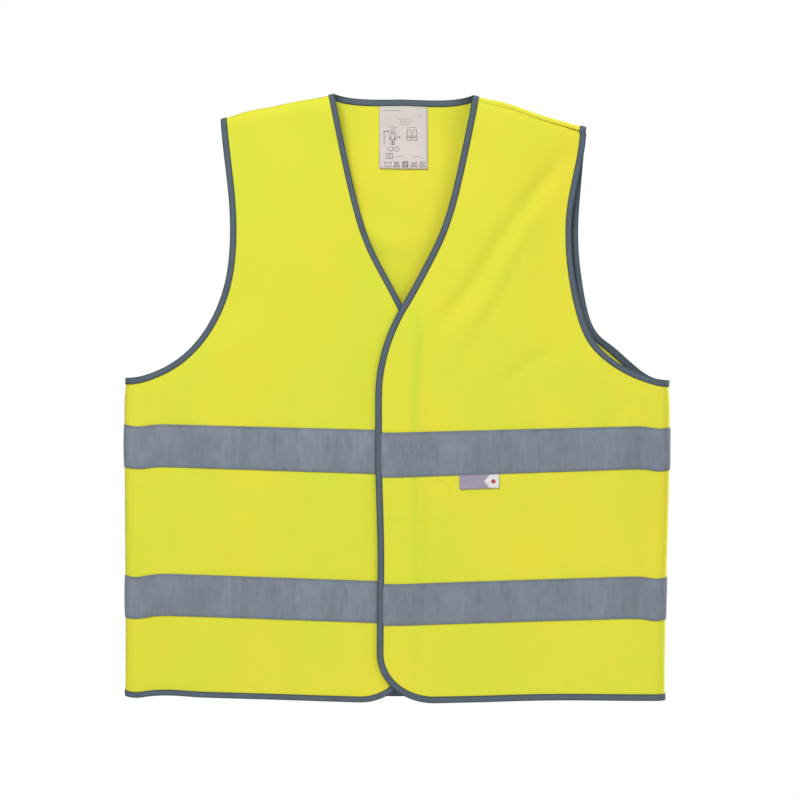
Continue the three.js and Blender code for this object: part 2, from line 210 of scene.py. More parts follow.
def depth_waves(x, z, panel):
    """How far the cloth stands towards the viewer."""
    fine = 0.35 * np.sin(x / 17 + z / 61) * np.sin(z / 29 - x / 83 + 1)
    if panel == "back":
        drape = smooth(z, -120, -560)
        waves = (1.7 * np.sin(x / 66 - z / 150) + 1.3 * np.sin(z / 90 + 0.4) + fine
                 + 2.6 * drape * np.sin(x / 41 + 0.7 * np.sin(z / 160)))
    else:
        wide = 1.5 * np.sin(x / 58 + z / 170 + 0.6) + 1.3 * np.sin(z / 74 - x / 230 + 2.0)
        waves = 0.9 * wide + fine
    for depth, width, line in CREASES[panel]:
        waves = waves + depth * crease(x, z, line, width)
    if panel == "back":
        return waves
    hang = smooth(z, -330, -600) * 1.6 * np.sin(x / 47 + 1.3)
    sides = bump(x, 302, 12) + bump(x, -300, 12)
    return waves + hang - 1.6 * sides * smooth(-z, 300, 380)


def lay(places, panel):
    """Moves points of the neat vest to where the hanging cloth has them."""
    x, z = places[:, 0].copy(), places[:, 2].copy()
    face = PANELS[panel][0]
    to_side = np.where(z < BETWEEN, HALF_WIDTH - np.abs(x), 1e3)
    to_top = np.where(z < BETWEEN, 1e3, -((np.abs(x) - NECK_HALF) * OVER[0] + z * OVER[1]))
    loose = smooth(np.minimum(to_side, to_top), 1, 42)
    down = np.clip(-z, 0, LENGTH)
    shift = 7.5 - 7.5 * smooth(down, 200, 350) - 2.2 * smooth(down, 400, 694)
    narrow = (0.005 * smooth(down, 330, 360) - 0.011 * smooth(down, 380, 660)) * x
    near_centre = 1 - smooth(np.abs(x), 60, 180)
    out_of_step = 0.0
    lift = 0.0
    if panel == "back":
        armholes = smooth(down, 60, 130) * (1 - smooth(down, 280, 340))
        out_of_step = 1.7 * armholes * smooth(np.abs(x), 120, 200)
        out_of_step = out_of_step - 2.5 * bump(z, -275, 40) * smooth(x, 150, 210)
        lift = 12 * bump(x, 256, 36) * bump(z, -302, 30) + 6.5 * smooth(down, 560, 690) * bump(x, 5, 130)
    elif panel == "left":
        pulled_in = smooth(down, 45, 150) * (1 - smooth(down, 250, 336))
        out_of_step = (-6.2 * pulled_in - 4 * bump(z, -292, 26)) * smooth(x, 90, 205)
        out_of_step = out_of_step + (3.6 * smooth(down, 400, 540) - 1.2 * bump(down, 200, 34)) * near_centre
    else:
        out_of_step = (-5 * smooth(down, 400, 660) - 1.5 * bump(down, 182, 38)) * near_centre
    places[:, 0] += shift + narrow + loose * out_of_step
    places[:, 2] += sag(x, z, panel) + loose * lift
    both = 1.6 * np.sin(z / 105 + 0.8) * smooth(down, 320, 460) * np.sign(x) * smooth(np.abs(x), 150, 300)
    places[:, 1] += both
    # the two edges of an armhole lie close together
    armhole_x = CHEST_HALF + (HALF_WIDTH - CHEST_HALF) * smooth(down, 215, 332) ** 1.6
    held = bump(x, 0, 42) * bump(z, -8, 14) if panel == "back" else bump(x, 94, 34) * bump(z, -434, 14)
    flattened = smooth(down, 15, 90) * (1 - smooth(down, 300, 345)) * smooth(np.abs(x) - armhole_x, -75, 0)
    if panel != "back":
        past_v = smooth(NECK_HALF * (1 - down / 250) + 75 - np.abs(x), 0, 75)
        flattened += 1.1 * past_v * smooth(down, 15, 80) * (1 - smooth(down, 205, 290))
    else:
        behind_v = smooth(x, -110, -10) * (1 - smooth(x, 90, 170))
        flattened += 0.7 * behind_v * smooth(down, 30, 110) * (1 - smooth(down, 210, 300))
    places[:, 1] += face * (loose * (1 - held) * depth_waves(x, z, panel) - 5.5 * flattened)
    return places


def spots(flat, height, panel):
    """Places in mm of points given in a panel's cloth coordinates and height over its cloth."""
    flat = np.atleast_2d(np.asarray(flat, float))
    height = np.broadcast_to(np.asarray(height, float), len(flat))
    face, side = PANELS[panel]
    x, z = flat[:, 0], flat[:, 1]
    side = np.where(x < 0, RIGHT, LEFT) if side is None else np.full(len(x), side)
    pick = lambda sizes: np.where(side == LEFT, sizes[LEFT], sizes[RIGHT])
    out, radius = side * x, pick(RADIUS)
    top = (out - NECK_HALF) * OVER[0] + z * OVER[1] + radius + CLOTH / 2
    aside = out - pick(FOLD_X)
    top = np.where(z > BETWEEN, np.maximum(top, 0), 0)
    aside = np.where(z > BETWEEN, 0, np.maximum(aside, 0))
    turn = (top + aside) / radius
    reach = (radius + height) * np.sin(turn)
    placed = np.empty((len(x), 3))
    placed[:, 0] = side * (out - aside - top * OVER[0] + reach * np.where(top > 0, OVER[0], aside > 0))
    placed[:, 2] = z - top * OVER[1] + reach * np.where(top > 0, OVER[1], 0)
    placed[:, 1] = pick(MIDDLE) + face * (radius + height) * np.cos(turn)
    return lay(placed, panel)


# ---- Outlines in cloth coordinates --------------------------------------------------------------

def curve(start, handle, end_handle, end, steps=60):
    t = np.linspace(0, 1, steps)[:, None]
    start, handle, end_handle, end = (np.array(p, float) for p in (start, handle, end_handle, end))
    u = 1 - t
    return u ** 3 * start + 3 * u * u * t * handle + 3 * u * t * t * end_handle + t ** 3 * end


def chain(*parts):
    line = [np.array(parts[0], float)]
    for part in parts[1:]:
        part = np.array(part, float)
        line.append(part[1:] if np.allclose(part[0], line[-1][-1]) else part)
    return np.vstack(line)


def run_along(line):
    """How far each point of a line is from its start, measured along the line."""
    return np.concatenate([[0], np.cumsum(np.linalg.norm(np.diff(line, axis=0), axis=1))])


def spaced(line, spacing):
    """The same line with even steps."""
    run = run_along(line)
    count = max(2, int(round(run[-1] / spacing)) + 1)
    at = np.linspace(0, run[-1], count)
    return np.stack([np.interp(at, run, line[:, 0]), np.interp(at, run, line[:, 1])], axis=1)


def offset(line, distance):
    """The line moved to its left."""
    steps = np.diff(line, axis=0)
    steps /= np.hypot(*steps.T)[:, None]
    ahead, behind = np.vstack([steps, steps[-1:]]), np.vstack([steps[:1], steps])
    both = ahead + behind
    both /= np.hypot(*both.T)[:, None]
    across = np.stack([-both[:, 1], both[:, 0]], axis=1)
    stretch = np.einsum("ij,ij->i", across, np.stack([-ahead[:, 1], ahead[:, 0]], axis=1))
    return line + across * (distance / np.maximum(stretch, 0.5))[:, None]


def unrolled(line, side):
    """A line as seen from the front, outwards from the centre, laid out flat over the folds."""
    line = np.array(line, float)
    radius = RADIUS[side]
    top = (line[:, 0] - NECK_HALF) * OVER[0] + line[:, 1] * OVER[1] + radius + CLOTH / 2
    aside = line[:, 0] - FOLD_X[side]
    for past, way, here in ((top, OVER, line[:, 1] > BETWEEN),
                            (aside, np.array([1.0, 0.0]), line[:, 1] <= BETWEEN)):
        arc = np.minimum(radius * np.arcsin(np.clip(past / radius, 0, 1)), SEAM_ARC[side] - SEAM_GAP)
        line += np.outer(np.where(here & (past > 0), arc - past, 0), way)
    return line


def front_edge(side):
    turn = np.array(V_TURN, float)
    wide, high = CORNER[side]
    corner = np.linspace(math.pi, 1.5 * math.pi, 30)
    round_corner = np.stack([CENTRE + wide * (1 + np.cos(corner)),
                             -LENGTH + high * (1 + np.sin(corner))], axis=1)
    return chain(curve((NECK_HALF, 0), (50, -150), turn + (44, 80), turn),
                 curve(turn, turn - (5.5, 10), (CENTRE, V_Z + 65), (CENTRE, V_Z)),
                 [(CENTRE, V_Z), (CENTRE, -LENGTH + high)], round_corner,
                 [(CENTRE + wide, -LENGTH), (HALF_WIDTH, -LENGTH)])


def armhole():
    return chain(curve((SHOULDER_HALF, SHOULDER_Z), (207, -90), (CHEST_HALF, -114), (CHEST_HALF, CHEST_Z)),
                 curve((CHEST_HALF, CHEST_Z), (CHEST_HALF, -250), (235, -322), (HALF_WIDTH, UNDERARM_Z)))


def back_neck_half():
    """From the centre to the neck point."""
    return curve((0, NECK_LOW), (40, NECK_SIDE), (56, NECK_SIDE), (NECK_HALF, 0))


def ends_at_shoulder(line, extra):
    """The line with its first point moved over the shoulder by an extra length of cloth."""
    if extra > 0:
        return np.vstack([line[:1] + OVER * extra, line])
    past = (line - line[0]) @ OVER
    return np.vstack([line[:1] + OVER * extra, line[past < extra - 1.5]])


def shoulder_roll(side):
    return ROLL if side == LEFT else 0.0


def front_lines(side):
    edge = ends_at_shoulder(unrolled(front_edge(side), side), -shoulder_roll(side))
    arm = ends_at_shoulder(unrolled(armhole(), side), -shoulder_roll(side))
    return edge, arm


def back_lines(side):
    neck = unrolled(back_neck_half(), side)[::-1]
    neck = ends_at_shoulder(neck, shoulder_roll(side))
    arm = ends_at_shoulder(unrolled(armhole(), side), shoulder_roll(side))
    hem = unrolled([(0, -LENGTH), (HALF_WIDTH, -LENGTH)], side)
    return neck, arm, hem


def to_side(line, side):
    return line * (side, 1)


# ---- Making meshes ------------------------------------------------------------------------------

def piece(name, places, faces, uv, material):
    """A mesh piece from places in mm, with its cloth coordinates in metres as its UV map."""
    mesh = bpy.data.meshes.new(name)
    mesh.from_pydata((np.asarray(places) * MM).tolist(), [], [list(map(int, f)) for f in faces])
    layer = mesh.uv_layers.new(name="cloth")
    corners = np.empty(len(mesh.loops), int)
    mesh.loops.foreach_get("vertex_index", corners)
    layer.data.foreach_set("uv", (np.asarray(uv) * MM)[corners].astype(np.float32).ravel())
    mesh.update()
    mesh.shade_smooth()
    made = bpy.data.objects.new(name, mesh)
    bpy.context.scene.collection.objects.link(made)
    mesh.materials.append(material)
    return made


def apply_modifier(made, kind, **settings):
    modifier = made.modifiers.new(kind.title(), kind)
    for key, value in settings.items():
        setattr(modifier, key, value)
    bpy.ops.object.select_all(action="DESELECT")
    bpy.context.view_layer.objects.active = made
    made.select_set(True)
    bpy.ops.object.modifier_apply(modifier=modifier.name)
    made.select_set(False)


def thicken(made, thickness):
    apply_modifier(made, "SOLIDIFY", thickness=thickness * MM, offset=0, use_even_offset=True)


def grid_faces(columns, rows):
    """Four-sided faces between the points of a grid that is listed column by column."""
    return [(i * rows + j, (i + 1) * rows + j, (i + 1) * rows + j + 1, i * rows + j + 1)
            for i in range(columns - 1) for j in range(rows - 1)]


def inside_polygon(points, polygon):
    x, z = points.T
    inside = np.zeros(len(points), bool)
    for (ax, az), (bx, bz) in zip(polygon, np.roll(polygon, -1, axis=0)):
        crossing = (az > z) != (bz > z)
        with np.errstate(divide="ignore", invalid="ignore"):
            inside ^= crossing & (x < (bx - ax) * (z - az) / (bz - az) + ax)
    return inside


def clear_of(points, polygon, distance):
    near = np.full(len(points), 1e9)
    for start, end in zip(polygon, np.roll(polygon, -1, axis=0)):
        span = end - start
        t = np.clip(((points - start) @ span) / max(span @ span, 1e-9), 0, 1)
        near = np.minimum(near, np.hypot(*(points - start - t[:, None] * span).T))
    return points[near > distance]


def filled(outline, grid, clear):
    """An outline filled with triangles, using the points of a grid that lie well inside it."""
    grid = clear_of(grid[inside_polygon(grid, outline)], outline, clear)
    points = [tuple(p) for p in np.vstack([outline, grid])]
    flat, _, faces, *_ = delaunay_2d_cdt(points, [], [list(range(len(outline)))], 1, 1e-5)
    return np.array([tuple(p) for p in flat]), np.array([f for f in faces])


def cloth_panel(name, outline, spacing, panel, material):
    """A whole sheet of cloth inside an outline, facing outwards."""
    low, high = outline.min(0), outline.max(0)
    columns = np.arange(low[0], high[0] + spacing, spacing)
    rows = np.arange(low[1], high[1] + spacing, spacing * 0.866)
    grid = np.array([(x + (spacing / 2 if i % 2 else 0), z) for i, z in enumerate(rows) for x in columns])
    if panel != "back":  # closer points where the fold crosses the bound edges
        steps = np.arange(-24, 25, 2.4)
        close = np.array([(x, z) for x in steps for z in steps])
        for end in (FOLD_TOP, FOLD_HEM):
            middle = np.array(end, float) * (SIDES[panel], 1)
            grid = grid[np.hypot(*(grid - middle).T) > 24]
            grid = np.vstack([grid, middle + close[np.hypot(*close.T) < 23]])
    flat, faces = filled(outline, grid, 2.0 if panel != "back" else spacing * 0.55)
    a, b, c = (flat[faces[:, i]] for i in range(3))
    turning = (b - a)[:, 0] * (c - a)[:, 1] - (b - a)[:, 1] * (c - a)[:, 0]
    wanted = 1 if panel != "back" else -1
    faces = np.where((turning * wanted > 0)[:, None], faces, faces[:, ::-1])
    made = piece(name, spots(flat, 0, panel), faces, flat, material)
    area = abs(turning).sum() / 2
    thicken(made, CLOTH)
    return made, area


def swept(line, profile, panel, inward):
    """Rings of a profile along a line: each profile point is a distance in from the line and a
    height. Gives places, cloth coordinates for each place, and the faces of the closed strip."""
    rings, uvs = [], []
    run = run_along(line)
    for distance, height in profile:
        moved = offset(line, inward * distance) if distance else line
        rings.append(spots(moved, height, panel))
        uvs.append(np.stack([run, np.full(len(run), distance + INNER_SIDE * (height < 0))], axis=1))
    return np.stack(rings, axis=1), np.stack(uvs, axis=1)


def strip_mesh(name, rings, uvs, material):
    """Joins rings of points into a closed strip with capped ends."""
    count, around = rings.shape[:2]
    places, uv = rings.reshape(-1, 3), uvs.reshape(-1, 2)
    faces = [(i * around + j, i * around + (j + 1) % around,
              (i + 1) * around + (j + 1) % around, (i + 1) * around + j)
             for i in range(count - 1) for j in range(around)]
    faces += [tuple(range(around))[::-1], tuple(range((count - 1) * around, count * around))]
    made = piece(name, places, faces, uv, material)
    outwards(made)
    return made


def outwards(made):
    bpy.ops.object.select_all(action="DESELECT")
    bpy.context.view_layer.objects.active = made
    made.select_set(True)
    bpy.ops.object.mode_set(mode="EDIT")
    bpy.ops.mesh.select_all(action="SELECT")
    bpy.ops.mesh.normals_make_consistent(inside=False)
    bpy.ops.object.mode_set(mode="OBJECT")
    made.select_set(False)


# ---- Materials ----------------------------------------------------------------------------------

def group(name, inputs, outputs):
    tree = bpy.data.node_groups.new(name, "ShaderNodeTree")
    for socket, kind, value in inputs:
        made = tree.interface.new_socket(socket, in_out="INPUT", socket_type=kind)
        if value is not None:
            made.default_value = value
    for socket, kind in outputs:
        tree.interface.new_socket(socket, in_out="OUTPUT", socket_type=kind)
    return tree, tree.nodes.new("NodeGroupInput"), tree.nodes.new("NodeGroupOutput")


def maths(tree, operation, *values):
    node = tree.nodes.new("ShaderNodeMath")
    node.operation = operation
    for socket, value in zip(node.inputs, values):
        if isinstance(value, (int, float)):
            socket.default_value = value
        else:
            tree.links.new(value, socket)
    return node.outputs[0]


def noise(tree, vector, scale, detail=2.0, roughness=0.5):
    node = tree.nodes.new("ShaderNodeTexNoise")
    node.inputs["Scale"].default_value = scale
    node.inputs["Detail"].default_value = detail
    node.inputs["Roughness"].default_value = roughness
    tree.links.new(vector, node.inputs["Vector"])
    return node.outputs["Fac"]


def spread(tree, value, low, high, to_low=0.0, to_high=1.0):
    node = tree.nodes.new("ShaderNodeMapRange")
    for socket, number in zip(list(node.inputs)[1:5], (low, high, to_low, to_high)):
        socket.default_value = number
    tree.links.new(value, node.inputs[0])
    return node.outputs[0]


def make_weave():
    """Threads that cross: counts are threads to the metre across and along."""
    tree, given, out = group("woven threads",
                             [("Vector", "NodeSocketVector", None), ("Across", "NodeSocketFloat", 1000.0),
                              ("Along", "NodeSocketFloat", 1000.0), ("Uneven", "NodeSocketFloat", 0.3)],
                             [("Height", "NodeSocketFloat"), ("Shade", "NodeSocketFloat")])
    split = tree.nodes.new("ShaderNodeSeparateXYZ")
    tree.links.new(given.outputs["Vector"], split.inputs[0])
    waves = []
    for axis, count in ((0, "Across"), (1, "Along")):
        phase = maths(tree, "MULTIPLY", split.outputs[axis], given.outputs[count])
        waves.append(maths(tree, "SINE", maths(tree, "MULTIPLY", phase, 2 * math.pi)))
    crossing = maths(tree, "MULTIPLY", waves[0], waves[1])
    threads = maths(tree, "ADD", maths(tree, "MULTIPLY", crossing, 0.3), 0.5)
    slubs = noise(tree, given.outputs["Vector"], 900.0, 3.0)
    uneven = maths(tree, "MULTIPLY", maths(tree, "SUBTRACT", slubs, 0.5), given.outputs["Uneven"])
    height = maths(tree, "ADD", threads, uneven)
    tree.links.new(height, out.inputs["Height"])
    tree.links.new(spread(tree, height, 0.2, 0.8), out.inputs["Shade"])
    return tree


def make_patches():
    """Soft uneven patches, stretched along one way of the cloth."""
    tree, given, out = group("soft patches",
                             [("Vector", "NodeSocketVector", None),
                              ("Stretch", "NodeSocketVector", (1, 1, 1))],
                             [("Wide", "NodeSocketFloat"), ("Fine", "NodeSocketFloat")])
    scaled = tree.nodes.new("ShaderNodeVectorMath")
    scaled.operation = "MULTIPLY"
    tree.links.new(given.outputs["Vector"], scaled.inputs[0])
    tree.links.new(given.outputs["Stretch"], scaled.inputs[1])
    wide = noise(tree, scaled.outputs[0], 1.0, 2.0, 0.5)
    fine = noise(tree, scaled.outputs[0], 7.0, 4.0, 0.6)
    tree.links.new(spread(tree, wide, 0.32, 0.68), out.inputs["Wide"])
    tree.links.new(spread(tree, fine, 0.3, 0.7), out.inputs["Fine"])
    return tree


WEAVE = make_weave()
PATCHES = make_patches()


def material(name, colours, roughness, weave=(900, 900, 0.3), relief=(0.3, 0.0002), stretch=(6, 6, 6),
             metallic=0.0, sheen=0.0, specular=0.4, fine=0.3, edge=None, below=None):
    """A woven finish between two colours, with painted shade in the low places between the threads; edge is
    the border, width, repeat and colour of painted shade along the two long edges of a strip; below is
    the colour of a painted shade line where the bound edge of the other front lies under the thin cloth."""
    made = bpy.data.materials.new(name)
    made.use_nodes = True
    tree = made.node_tree
    shader = tree.nodes["Principled BSDF"]
    uv = tree.nodes.new("ShaderNodeUVMap")
    uv.uv_map = "cloth"
    threads = tree.nodes.new("ShaderNodeGroup")
    threads.node_tree = WEAVE
    patches = tree.nodes.new("ShaderNodeGroup")
    patches.node_tree = PATCHES
    tree.links.new(uv.outputs[0], threads.inputs["Vector"])
    tree.links.new(uv.outputs[0], patches.inputs["Vector"])
    for socket, value in zip(("Across", "Along", "Uneven"), weave):
        threads.inputs[socket].default_value = value
    patches.inputs["Stretch"].default_value = stretch
    mixed = maths(tree, "ADD", maths(tree, "MULTIPLY", patches.outputs["Wide"], 1 - fine),
                  maths(tree, "MULTIPLY", patches.outputs["Fine"], fine))
    colour = blended(tree, mixed, colours[0], colours[1])
    # painted shade: the low places between the threads are darkened by up to 22% towards a darker copy of
    # the first colour
    colour = blended(tree, spread(tree, threads.outputs["Shade"], 0, 1, 0.22, 0.0),
                     colour, tuple(c * 0.72 for c in colours[0]))
    if edge:
        # painted shade: both long edges of the strip are darkened towards the edge colour, standing in for
        # the shade at a folded or sewn edge
        border, width, repeat, edge_shade = edge
        split = tree.nodes.new("ShaderNodeSeparateXYZ")
        tree.links.new(uv.outputs[0], split.inputs[0])
        across = maths(tree, "MODULO", split.outputs[1], repeat)
        outer = spread(tree, across, border * 1.6, border * 0.7)
        inner = spread(tree, across, width - border * 1.5, width - border * 0.7)
        near = maths(tree, "MAXIMUM", outer, inner)
        colour = blended(tree, near, colour, edge_shade)
    # painted shade: a soft darker, greener line on the left front along where the right front's bound edge
    # lies beneath the thin cloth
    if below:
        split = tree.nodes.new("ShaderNodeSeparateXYZ")
        tree.links.new(uv.outputs[0], split.inputs[0])
        leaning = maths(tree, "ADD", split.outputs[0], maths(tree, "MULTIPLY", split.outputs[1], -0.014))
        neck = maths(tree, "MAXIMUM", maths(tree, "ADD", split.outputs[1], 0.288), 0.0)
        curving = maths(tree, "MULTIPLY", maths(tree, "MULTIPLY", neck, neck), 5.2)
        apart = maths(tree, "ABSOLUTE", maths(tree, "ADD", maths(tree, "ADD", leaning, curving), -0.0257))
        length = maths(tree, "MULTIPLY", spread(tree, split.outputs[1], -0.225, -0.290),
                       spread(tree, split.outputs[1], -0.700, -0.320))
        seen = maths(tree, "MULTIPLY", spread(tree, apart, 0.0075, 0.0015), length)
        colour = blended(tree, maths(tree, "MULTIPLY", seen, 0.34), colour, below)
    tree.links.new(colour, shader.inputs["Base Color"])
    tree.links.new(spread(tree, threads.outputs["Shade"], 0, 1, roughness + 0.06, roughness - 0.04),
                   shader.inputs["Roughness"])
    raised = tree.nodes.new("ShaderNodeBump")
    raised.inputs["Strength"].default_value = relief[0]
    raised.inputs["Distance"].default_value = relief[1]
    tree.links.new(threads.outputs["Height"], raised.inputs["Height"])
    tree.links.new(raised.outputs[0], shader.inputs["Normal"])
    shader.inputs["Metallic"].default_value = metallic
    shader.inputs["Specular IOR Level"].default_value = specular
    shader.inputs["Sheen Weight"].default_value = sheen
    shader.inputs["Sheen Roughness"].default_value = 0.5
    return made


def blended(tree, factor, first, second):
    node = tree.nodes.new("ShaderNodeMix")
    node.data_type = "RGBA"
    tree.links.new(factor, node.inputs["Factor"])
    for socket, value in ((node.inputs[6], first), (node.inputs[7], second)):
        if isinstance(value, tuple):
            socket.default_value = (*value[:3], 1.0)
        else:
            tree.links.new(value, socket)
    return node.outputs[2]


KNIT = dict(weave=(1150, 950, 0.5), relief=(0.35, 0.0002), stretch=(7, 5, 6), specular=0.2)
KNIT_COLOURS = [(0.500, 0.556, 0.036), (0.622, 0.536, 0.034)]
YELLOW = material("fluorescent_yellow_knit", KNIT_COLOURS, 0.82, **KNIT)
# the left front's cloth, with a painted shade line where the right front's bound edge lies beneath it
YELLOW_PAINTED_SHADE_LINE = material("fluorescent_yellow_knit_painted_shade_line", KNIT_COLOURS, 0.82,
                       below=(0.28, 0.47, 0.036), **KNIT)
# the tape's two long edges carry painted shadow
TAPE = material("reflective_grey_tape", [(0.105, 0.124, 0.155), (0.184, 0.214, 0.261)], 0.48,
                weave=(1500, 1500, 0.8), relief=(0.25, 0.00012), stretch=(24, 7, 6),
                metallic=0.12, specular=0.5, fine=0.55, edge=(0.0009, 0.05, 0.1, (0.10, 0.12, 0.14)))
# the binding's folded nose and its inner edge carry painted shade
BOUND = material("blue_grey_binding", [(0.058, 0.080, 0.103), (0.075, 0.102, 0.130)], 0.75,
                 weave=(1300, 1000, 0.4), relief=(0.4, 0.0002), stretch=(40, 60, 6), specular=0.25,
                 edge=(0.0011, 0.0082, 0.02, (0.026, 0.044, 0.052)))
THREAD = material("blue_grey_thread", [(0.072, 0.094, 0.116), (0.090, 0.114, 0.138)], 0.6,
                  weave=(3000, 1500, 0.3), relief=(0.3, 0.0001), stretch=(60, 60, 6))
YELLOW_THREAD = material("yellow_thread", [(0.60, 0.60, 0.045), (0.65, 0.65, 0.05)], 0.65,
                         weave=(3000, 1500, 0.3), relief=(0.3, 0.0001), stretch=(60, 60, 6))
LABEL = material("label_satin", [(0.450, 0.408, 0.390), (0.488, 0.445, 0.424)], 0.5,
                 weave=(3500, 1800, 0.3), relief=(0.2, 0.00008), stretch=(20, 30, 6),
                 specular=0.5, sheen=0.1)
PRINT = material("label_print", [(0.035, 0.035, 0.042), (0.048, 0.048, 0.056)], 0.6,
                 weave=(3500, 1800, 0.3), relief=(0.1, 0.00005), stretch=(60, 60, 6))
LILAC = material("tab_satin_lilac", [(0.22, 0.19, 0.255), (0.272, 0.24, 0.315)], 0.45,
                 weave=(60, 420, 0.1), relief=(0.4, 0.00025), stretch=(30, 250, 6), specular=0.5)
TAB_WHITE = material("tab_satin_white", [(0.520, 0.505, 0.505), (0.575, 0.560, 0.560)], 0.45,
                     weave=(2500, 1500, 0.2), relief=(0.2, 0.0001), stretch=(40, 60, 6), specular=0.5)
TAB_RED = material("tab_red_thread", [(0.36, 0.02, 0.035), (0.43, 0.03, 0.046)], 0.5,
                   weave=(2500, 1500, 0.2), relief=(0.3, 0.0001), stretch=(60, 60, 6))
HOOKS = material("hook_and_loop", [(0.400, 0.405, 0.036), (0.466, 0.475, 0.044)], 0.6,
                 weave=(1600, 1600, 0.5), relief=(0.4, 0.0002), stretch=(60, 60, 6))


# ---- Panels -------------------------------------------------------------------------------------

fold_way = np.array(FOLD_HEM, float) - np.array(FOLD_TOP, float)
fold_way /= np.hypot(*fold_way)


def crosses_fold(made):
    """Bakes the transform of a front piece into its mesh."""
    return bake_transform(made)


def front_outline(side):
    edge, arm = front_lines(side)
    edge = spaced(offset(edge, 1.0), 2.5)
    arm = spaced(offset(arm, -1.0), 5)
    side_seam = spaced(np.array([edge[-1], arm[-1]]), 5)
    shoulder = spaced(np.array([arm[0], edge[0]]), 5)
    outline = chain(edge, side_seam, arm[::-1], shoulder)[:-1]
    return to_side(outline, side)


def back_outline():
    halves = []
    for side in (LEFT, RIGHT):
        neck, arm, hem = back_lines(side)
        neck = spaced(offset(neck, 1.0), 4)
        arm = spaced(offset(arm, -1.0), 5)
        hem = spaced(offset(hem, 1.0), 5)
        side_seam = spaced(np.array([arm[-1], hem[-1]]), 5)
        shoulder = spaced(np.array([neck[0], arm[0]]), 5)
        halves.append(to_side(chain(neck[::-1], shoulder, arm, side_seam, hem[::-1]), side))
    return chain(halves[0], halves[1][::-1])[:-1]


back_panel, back_area = cloth_panel("back_cloth", back_outline(), 6.5, "back", YELLOW)
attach(back_panel, "root")
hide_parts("back_panel")

for name, side in SIDES.items():
    made, area = cloth_panel(f"{name}_front_cloth", front_outline(side), 6.0, name,
                             YELLOW_PAINTED_SHADE_LINE if side == LEFT else YELLOW)
    crosses_fold(made)
    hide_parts(f"{name}_side_front", f"{name}_flap_front")

# ---- Tapes --------------------------------------------------------------------------------------

TAPE_LEVELS = {place: [corner[2] for corner in node_box(f"back_{place}_tape")]
               for place in ("lower", "upper")}


def tape(name, start, end, level, panel):
    """A flat tape sewn on along both edges: it stands up a little between them and puckers there."""
    columns = spaced(np.array([(start, 0.0), (end, 0.0)]), 4)[:, 0]
    half = [0.0, 0.7, TAPE_ROW, 5, 10, 16, 25]
    across = np.array(half + [TAPE_WIDTH - up for up in half[-2::-1]])
    x, up = np.meshgrid(columns, across, indexing="ij")
    middle = np.sin(np.pi * np.clip(up / TAPE_WIDTH, 0, 1))
    sewn = bump(up, TAPE_ROW, 1.2) + bump(up, TAPE_WIDTH - TAPE_ROW, 1.2)
    pucker = np.sin(x / 2.9 + 1.7 * np.sin(x / 13)) * (1 - middle) * 0.12
    streak = 0.28 * middle * np.sin(x / 9.5 + 2.2 * np.sin(x / 37) + up / 60)
    height = TRIM + 0.45 * middle ** 0.5 + pucker + streak * middle - 0.18 * sewn
    flat = np.stack([x.ravel(), (level[0] + up).ravel()], axis=1)
    places = spots(flat, height.ravel(), panel)
    faces = grid_faces(len(columns), len(across))
    if (panel == "back") == (end > start):
        faces = [f[::-1] for f in faces]
    made = piece(name, places, faces, flat - (0, level[0]), TAPE)
    thicken(made, 0.35)
    return made, abs(end - start) * TAPE_WIDTH


seam_x = {side: FOLD_X[side] + SEAM_ARC[side] - SEAM_GAP for side in (LEFT, RIGHT)}
for place, level in TAPE_LEVELS.items():
    made, area = tape(f"back_{place}_reflective_tape", -seam_x[RIGHT], seam_x[LEFT], level, "back")
    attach(made, "root")
    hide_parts(f"back_{place}_tape")
    for name, side in SIDES.items():
        made, area = tape(f"{name}_{place}_reflective_tape", side * (CENTRE + 6.5), side * seam_x[side],
                          level, name)
        crosses_fold(made)
        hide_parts(f"{name}_side_{place}_tape", f"{name}_flap_{place}_tape")

# ---- Bindings -----------------------------------------------------------------------------------

# The section of a folded strip, round the cloth's edge: outer wall, nose, inner wall, and back.
BINDING_SECTION = [(BINDING, 0.55), (BINDING, 0.95), (BINDING - 0.6, 1.12), (5.4, 1.24), (2.6, 1.3),
                   (1.0, 1.22), (0.25, 0.85), (0.0, 0.3), (0.0, -0.3), (0.25, -0.85), (1.0, -1.22),
                   (2.6, -1.3), (5.4, -1.24), (BINDING - 0.6, -1.12), (BINDING, -0.95),
                   (BINDING, -0.55), (5.4, -0.72), (1.3, -0.7), (0.8, 0), (1.3, 0.7), (5.4, 0.72)]


def binding_rings(line, panel, inward, width):
    section = [(distance * width / BINDING, height) for distance, height in BINDING_SECTION]
    places, uvs = swept(spaced(line, 2), section, panel, inward)
    uvs[:, :, 1] = (uvs[:1, :, 1] // INNER_SIDE * INNER_SIDE
                     + uvs[:1, :, 1] % INNER_SIDE * BINDING / width)
    return places, uvs


def bound_edge(name, runs, width=BINDING):
    """One binding of several runs, end to end: each run is a line, its panel and its inward side."""
    parts = [binding_rings(*run, width) for run in runs]
    rings = np.concatenate([part[0] for part in parts])
    ends = np.cumsum([0] + [part[1][-1, 0, 0] for part in parts])
    uvs = np.concatenate([part[1] + (end, 0) for part, end in zip(parts, ends)])
    made = strip_mesh(name, rings, uvs, BOUND)
    return made, ends[-1]


# The back's neck, from over one shoulder to over the other, and its hem.
left_neck, left_arm, left_hem = back_lines(LEFT)
right_neck, right_arm, right_hem = back_lines(RIGHT)
neck_line = chain(left_neck, to_side(right_neck, RIGHT)[::-1])
made, length = bound_edge("back_neck_edge", [(neck_line, "back", 1)], EDGE_WIDTH[LEFT])
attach(made, "root")
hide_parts("back_neck_binding")

hem_line = chain(to_side(right_hem, RIGHT)[::-1], left_hem)
made, length = bound_edge("back_hem_edge", [(hem_line, "back", 1)])
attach(made, "root")
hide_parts("back_hem_binding")

